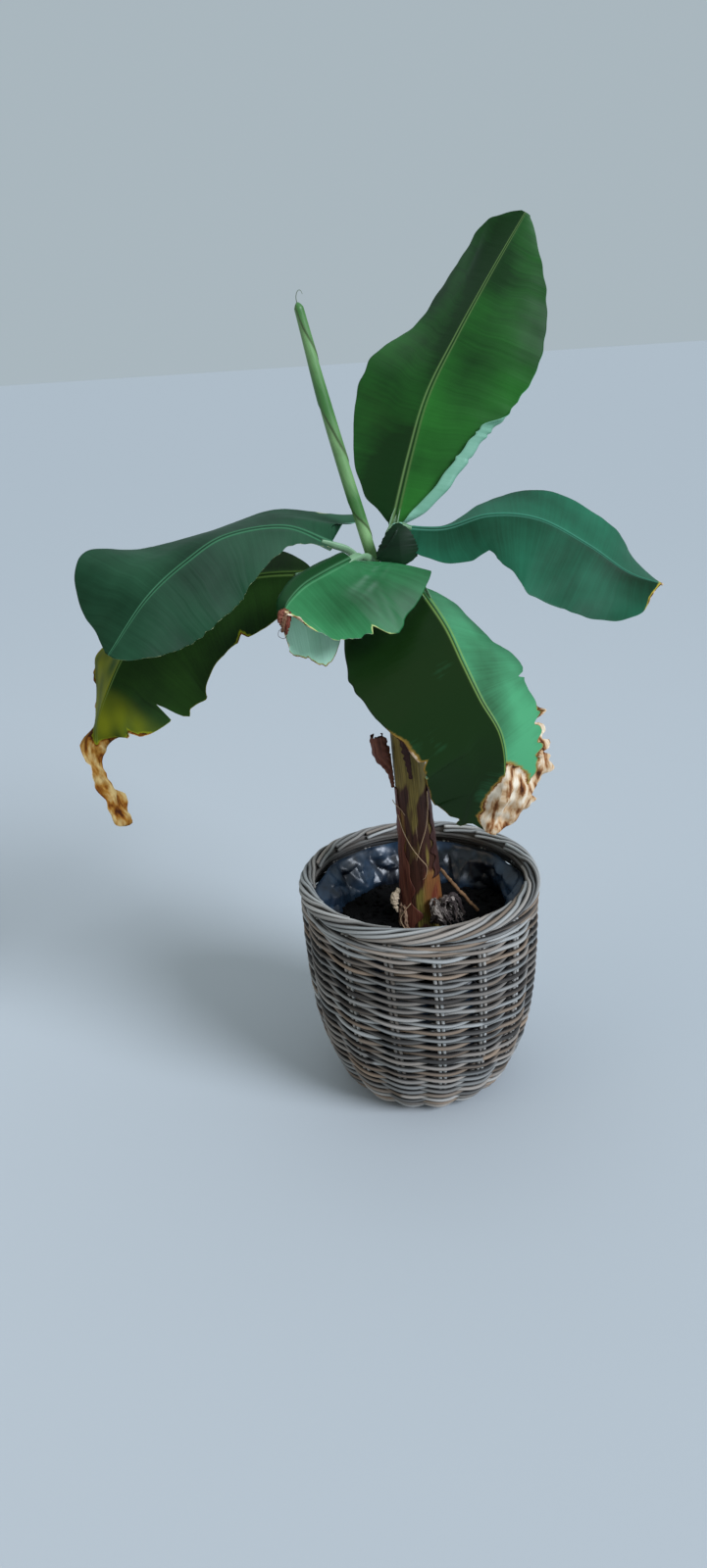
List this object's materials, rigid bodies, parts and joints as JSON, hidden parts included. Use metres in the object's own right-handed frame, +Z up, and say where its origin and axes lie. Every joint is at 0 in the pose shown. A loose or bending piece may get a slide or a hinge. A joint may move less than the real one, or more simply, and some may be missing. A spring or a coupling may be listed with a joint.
{
  "type": "potted banana plant",
  "caption": "Young banana plant with a leaning pseudostem, broad arching leaves and a rolled new leaf, growing in a lined wicker basket.",
  "frame": {"origin": "centre of the basket's flat underside", "axes": "+Z up along the stem towards the tallest leaf, -Y the side of the two front leaves, +X the side of the arching right leaf"},
  "size_m": [0.8719, 0.4094, 1.3629],
  "materials": {
    "rattan": "weathered grey rattan, rough",
    "film": "crumpled glossy film",
    "soil": "moist crumbly potting soil",
    "pseudostem": "satin sheaths with dry brown patches",
    "petiole": "satin, bloomed",
    "leaf": "waxy upper side, paler matt underside",
    "dry_sheath": "dry, papery"
  },
  "bodies": {
    "root": {"basket_shell": "rattan", "basket_border": "rattan", "basket_liner": "film", "potting_soil": "soil", "pseudostem": "pseudostem", "spear_leaf": "leaf", "petiole_tall": "petiole", "blade_tall": "leaf", "petiole_left": "petiole", "blade_left": "leaf", "petiole_lower_left": "petiole", "blade_lower_left_inner": "leaf", "blade_lower_left_outer": "leaf", "petiole_front": "petiole", "blade_front": "leaf", "petiole_front_right": "petiole", "blade_front_right": "leaf", "petiole_right": "petiole", "blade_right": "leaf", "dead_petiole_stub": "dry_sheath", "sheath_scrap_left": "dry_sheath", "sheath_scrap_right": "dry_sheath", "fallen_stick": "dry_sheath"}
  },
  "joints": []
}
